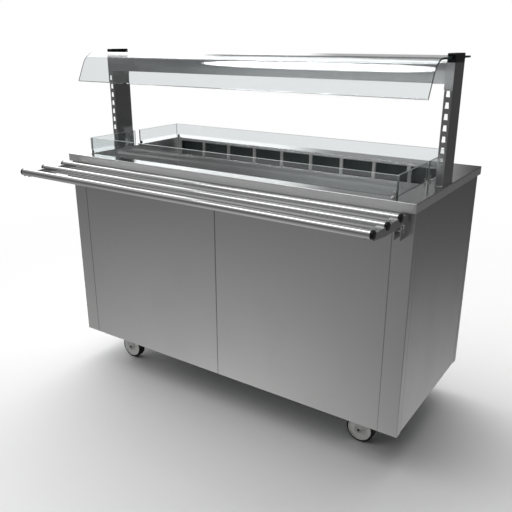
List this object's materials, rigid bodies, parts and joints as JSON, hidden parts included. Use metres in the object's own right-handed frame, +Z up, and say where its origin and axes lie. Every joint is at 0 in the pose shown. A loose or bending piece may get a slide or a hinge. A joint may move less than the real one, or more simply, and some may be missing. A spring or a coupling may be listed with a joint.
{
  "type": "mobile salad bar",
  "caption": "Mobile salad bar: stainless counter on castors with a chilled well, glass upstand, slotted uprights, curved glass canopy and fold-down tube tray slide",
  "frame": {"origin": "on the floor, midway along the counter and midway between the front of the tray slide and the rear edge of the worktop", "axes": "+X along the counter to the customer's right as they face it, +Y from the customer towards the operator, +Z up"},
  "size_m": [1.43, 0.893, 1.29],
  "materials": {
    "brushed_steel": "stainless steel, fine lengthwise brushing",
    "galvanised_steel": "galvanised sheet with a dull spangle",
    "bright_steel": "bright machined stainless steel",
    "zinc_plate": "zinc plated pressings",
    "wheel_nylon": "moulded grey nylon",
    "tyre_rubber": "black non-marking rubber",
    "clear_glass": "clear toughened float glass with ground edges",
    "black_plastic": "black moulded plastic with a fine texture",
    "green_plastic": "translucent green switch rocker",
    "grey_plastic": "dark grey moulded plastic",
    "insulation_foam": "cream foamed insulation",
    "white_pipe": "white plastic pipe",
    "black_paint": "black paint on a drawn steel shell",
    "aluminium_fins": "plain aluminium sheet"
  },
  "bodies": {
    "counter": {"base_tray": "galvanised_steel", "corner_posts": "brushed_steel", "front_left_panel": "brushed_steel", "front_right_panel": "brushed_steel", "left_end_panel": "brushed_steel", "right_end_panel": "brushed_steel", "bulkhead": "brushed_steel", "worktop": "brushed_steel", "well_tank": "brushed_steel", "well_insulation": "insulation_foam", "air_duct": "grey_plastic", "air_grille": "grey_plastic", "evaporator": "aluminium_fins", "drain_pipe": "white_pipe", "front_glass": "clear_glass", "rear_glass": "clear_glass", "side_glass": "clear_glass", "glass_clips": "brushed_steel", "left_upright": "brushed_steel", "right_upright": "brushed_steel", "canopy_beam": "brushed_steel", "post_caps": "black_plastic", "canopy_glass": "clear_glass", "canopy_screws": "bright_steel", "wall_brackets": "brushed_steel", "pivot_bolts": "bright_steel", "castor_plates": "zinc_plate", "door_pins": "bright_steel", "louvre_panel": "brushed_steel", "mains_gland": "black_plastic", "control_panel": "brushed_steel", "thermostat": "black_plastic", "switch_housing": "black_plastic", "compressor": "black_paint", "condenser": "aluminium_fins", "fan_motor": "galvanised_steel"},
    "tray_slide": {"front_tube": "brushed_steel", "middle_tube": "brushed_steel", "rear_tube": "brushed_steel", "tube_plugs": "black_plastic", "left_arm": "brushed_steel", "right_arm": "brushed_steel"},
    "left_door_leaf": {"left_door": "brushed_steel"},
    "right_door_leaf": {"right_door": "brushed_steel"},
    "rocker": {"power_switch": "green_plastic"},
    "fan_rotor": {"fan": "aluminium_fins"},
    "front_left_castor": {"front_left_fork": "zinc_plate"},
    "front_left_roller": {"front_left_wheel": "wheel_nylon", "front_left_tyre": "tyre_rubber"},
    "front_right_castor": {"front_right_fork": "zinc_plate"},
    "front_right_roller": {"front_right_wheel": "wheel_nylon", "front_right_tyre": "tyre_rubber"},
    "rear_left_castor": {"rear_left_fork": "zinc_plate"},
    "rear_left_roller": {"rear_left_wheel": "wheel_nylon", "rear_left_tyre": "tyre_rubber"},
    "rear_right_castor": {"rear_right_fork": "zinc_plate"},
    "rear_right_roller": {"rear_right_wheel": "wheel_nylon", "rear_right_tyre": "tyre_rubber"},
    "left_pedal": {"left_brake": "black_plastic"},
    "right_pedal": {"right_brake": "black_plastic"}
  },
  "joints": [
    {"name": "tray_slide_fold", "type": "hinge", "parent": "counter", "child": "tray_slide", "pos_m": [0, -0.2295, 0.839], "axis": [1, 0, 0], "range_deg": [0, 90]},
    {"name": "left_door_hinge", "type": "hinge", "parent": "counter", "child": "left_door_leaf", "pos_m": [-0.2005, 0.4105, 0.4915], "axis": [0, 0, 1], "range_deg": [0, 110]},
    {"name": "right_door_hinge", "type": "hinge", "parent": "counter", "child": "right_door_leaf", "pos_m": [0.6365, 0.4105, 0.4915], "axis": [0, 0, -1], "range_deg": [0, 110]},
    {"name": "power_rocker", "type": "hinge", "parent": "counter", "child": "rocker", "pos_m": [-0.4465, 0.416, 0.85675], "axis": [-1, 0, 0], "range_deg": [0, 16]},
    {"name": "fan_spin", "type": "hinge", "parent": "counter", "child": "fan_rotor", "pos_m": [-0.434, 0.3277, 0.255], "axis": [0, 1, 0], "continuous": true},
    {"name": "front_left_swivel", "type": "hinge", "parent": "counter", "child": "front_left_castor", "pos_m": [-0.585, -0.0865, 0.126], "axis": [0, 0, 1], "continuous": true},
    {"name": "front_left_roll", "type": "hinge", "parent": "front_left_castor", "child": "front_left_roller", "pos_m": [-0.547, -0.0865, 0.05], "axis": [0, 1, 0], "continuous": true},
    {"name": "front_right_swivel", "type": "hinge", "parent": "counter", "child": "front_right_castor", "pos_m": [0.585, -0.0865, 0.126], "axis": [0, 0, 1], "continuous": true},
    {"name": "front_right_roll", "type": "hinge", "parent": "front_right_castor", "child": "front_right_roller", "pos_m": [0.547, -0.0865, 0.05], "axis": [0, -1, 0], "continuous": true},
    {"name": "rear_left_swivel", "type": "hinge", "parent": "counter", "child": "rear_left_castor", "pos_m": [-0.585, 0.3135, 0.126], "axis": [0, 0, 1], "continuous": true},
    {"name": "rear_left_roll", "type": "hinge", "parent": "rear_left_castor", "child": "rear_left_roller", "pos_m": [-0.585, 0.3515, 0.05], "axis": [-1, 0, 0], "continuous": true},
    {"name": "rear_right_swivel", "type": "hinge", "parent": "counter", "child": "rear_right_castor", "pos_m": [0.585, 0.3135, 0.126], "axis": [0, 0, 1], "continuous": true},
    {"name": "rear_right_roll", "type": "hinge", "parent": "rear_right_castor", "child": "rear_right_roller", "pos_m": [0.585, 0.3515, 0.05], "axis": [-1, 0, 0], "continuous": true},
    {"name": "left_brake_press", "type": "hinge", "parent": "rear_left_castor", "child": "left_pedal", "pos_m": [-0.585, 0.3815, 0.108], "axis": [-1, 0, 0], "range_deg": [0, 10]},
    {"name": "right_brake_press", "type": "hinge", "parent": "rear_right_castor", "child": "right_pedal", "pos_m": [0.585, 0.3815, 0.108], "axis": [-1, 0, 0], "range_deg": [0, 10]}
  ]
}
